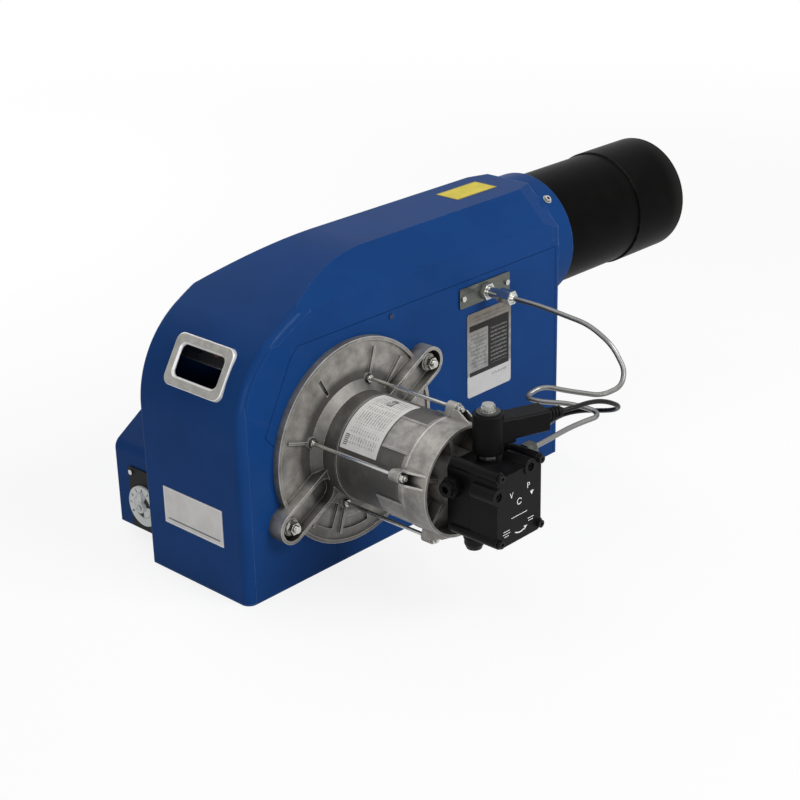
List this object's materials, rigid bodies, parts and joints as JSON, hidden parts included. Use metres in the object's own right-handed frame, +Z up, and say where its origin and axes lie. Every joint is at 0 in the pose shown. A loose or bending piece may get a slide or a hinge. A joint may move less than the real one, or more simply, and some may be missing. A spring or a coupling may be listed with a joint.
{
  "type": "diesel burner",
  "caption": "Single-stage oil burner: folded sheet housing with side motor, fan, fuel pump, solenoid valve and air damper, firing through a round blast tube.",
  "frame": {"origin": "on the flat base, under the motor and fan axis, in the upright plane of the blast tube's axis", "axes": "+X is the firing direction, out of the blast tube's mouth; +Z is up; the motor and pump stand out on -Y and the air intake box on +Y"},
  "size_m": [0.828, 0.5155, 0.3584],
  "materials": {
    "housing_paint": "satin",
    "black_paint": "satin",
    "bezel_grey": "satin",
    "cast_alloy": "as cast",
    "stator_paint": "satin",
    "zinc_steel": "zinc plated",
    "pipe_steel": "drawn",
    "galvanised": "galvanised",
    "pump_black": "painted",
    "coil_plastic": "moulded",
    "soft_rubber": "moulded",
    "cable_jacket": "smooth",
    "white_label": "printed",
    "yellow_label": "printed",
    "plate_metal": "brushed, printed",
    "plate_white": "printed",
    "copper_wire": "varnished",
    "core_steel": "laminated",
    "bright_shaft": "ground",
    "brass": "machined",
    "ceramic_white": "glazed",
    "flame_steel": "heat tinted",
    "control_black": "moulded",
    "button_red": "translucent",
    "dial_grey": "moulded",
    "coupling_plastic": "moulded",
    "transformer_case": "potted"
  },
  "bodies": {
    "burner": {"housing_wrap": "housing_paint", "motor_side_panel": "housing_paint", "inlet_side_panel": "housing_paint", "base_panel": "housing_paint", "front_panel": "housing_paint", "side_cover": "housing_paint", "window_bezel": "bezel_grey", "housing_screws": "zinc_steel", "blast_tube": "black_paint", "end_sleeve": "black_paint", "flame_disc": "flame_steel", "nozzle_line": "pipe_steel", "nozzle": "brass", "head_brackets": "flame_steel", "electrode_ceramics": "ceramic_white", "electrode_rods": "flame_steel", "flame_sensor": "control_black", "fan_scroll": "galvanised", "scroll_plate": "galvanised", "motor_flange": "cast_alloy", "stator_shell": "stator_paint", "stator_core": "core_steel", "stator_windings": "copper_wire", "end_shield": "cast_alloy", "tie_rods": "zinc_steel", "motor_bearings": "bright_shaft", "motor_label": "white_label", "flange_studs": "zinc_steel", "pump_body": "pump_black", "pump_cover": "pump_black", "pump_screws": "black_paint", "pump_plugs": "black_paint", "suction_adapter": "black_paint", "outlet_fitting": "zinc_steel", "valve_stem": "bright_shaft", "valve_coil": "coil_plastic", "coil_nut": "zinc_steel", "valve_plug": "coil_plastic", "cable_boot": "soft_rubber", "valve_cable": "cable_jacket", "cable_gland": "coil_plastic", "fuel_pipe": "pipe_steel", "line_bracket": "zinc_steel", "line_fitting": "zinc_steel", "data_plate": "plate_metal", "back_plate": "plate_white", "top_label": "yellow_label", "air_box": "housing_paint", "dial_plate": "control_black", "control_shelf": "galvanised", "control_box": "control_black", "ignition_transformer": "transformer_case"},
    "rotor": {"motor_shaft": "bright_shaft", "rotor_core": "core_steel", "shaft_coupling": "coupling_plastic", "fan_wheel": "galvanised"},
    "damper": {"damper_flap": "galvanised", "damper_dial": "dial_grey"},
    "button": {"reset_button": "button_red"},
    "plunger": {"valve_plunger": "bright_shaft"}
  },
  "joints": [
    {"name": "rotor_spin", "type": "hinge", "parent": "burner", "child": "rotor", "pos_m": [0, -0.1, 0.149], "axis": [0, -1, 0], "continuous": true},
    {"name": "damper_turn", "type": "hinge", "parent": "burner", "child": "damper", "pos_m": [0, 0.1295, 0.048], "axis": [1, 0, 0], "range_deg": [0, 90]},
    {"name": "reset_press", "type": "slide", "parent": "burner", "child": "button", "axis": [1, 0, 0], "range_m": [0, 0.003], "stiffness_N_per_m": 400, "springref_m": -0.001},
    {"name": "plunger_lift", "type": "slide", "parent": "burner", "child": "plunger", "axis": [0, 0, 1], "range_m": [0, 0.0015], "stiffness_N_per_m": 600, "springref_m": -0.002}
  ]
}
